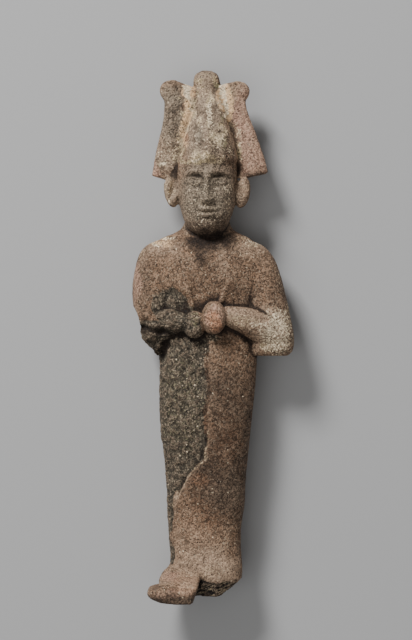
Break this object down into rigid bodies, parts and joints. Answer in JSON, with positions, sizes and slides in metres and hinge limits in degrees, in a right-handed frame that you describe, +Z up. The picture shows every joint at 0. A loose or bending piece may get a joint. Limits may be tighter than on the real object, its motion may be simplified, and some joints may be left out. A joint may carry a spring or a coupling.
{
  "type": "osiris statuette",
  "caption": "Worn stone statuette of a mummiform god in a plumed crown, arms on the chest, one foot broken off; lies on its back pillar.",
  "frame": {"origin": "centre of the outline that the lying figure covers, on the surface that it lies on", "axes": "+Y runs from the feet to the crown, +Z is up, out of the figure's chest, and +X points to the figure's left hand"},
  "size_m": [0.0548, 0.18, 0.0339],
  "materials": {
    "stone": "matte"
  },
  "bodies": {
    "root": {"statuette": "stone"}
  },
  "joints": []
}
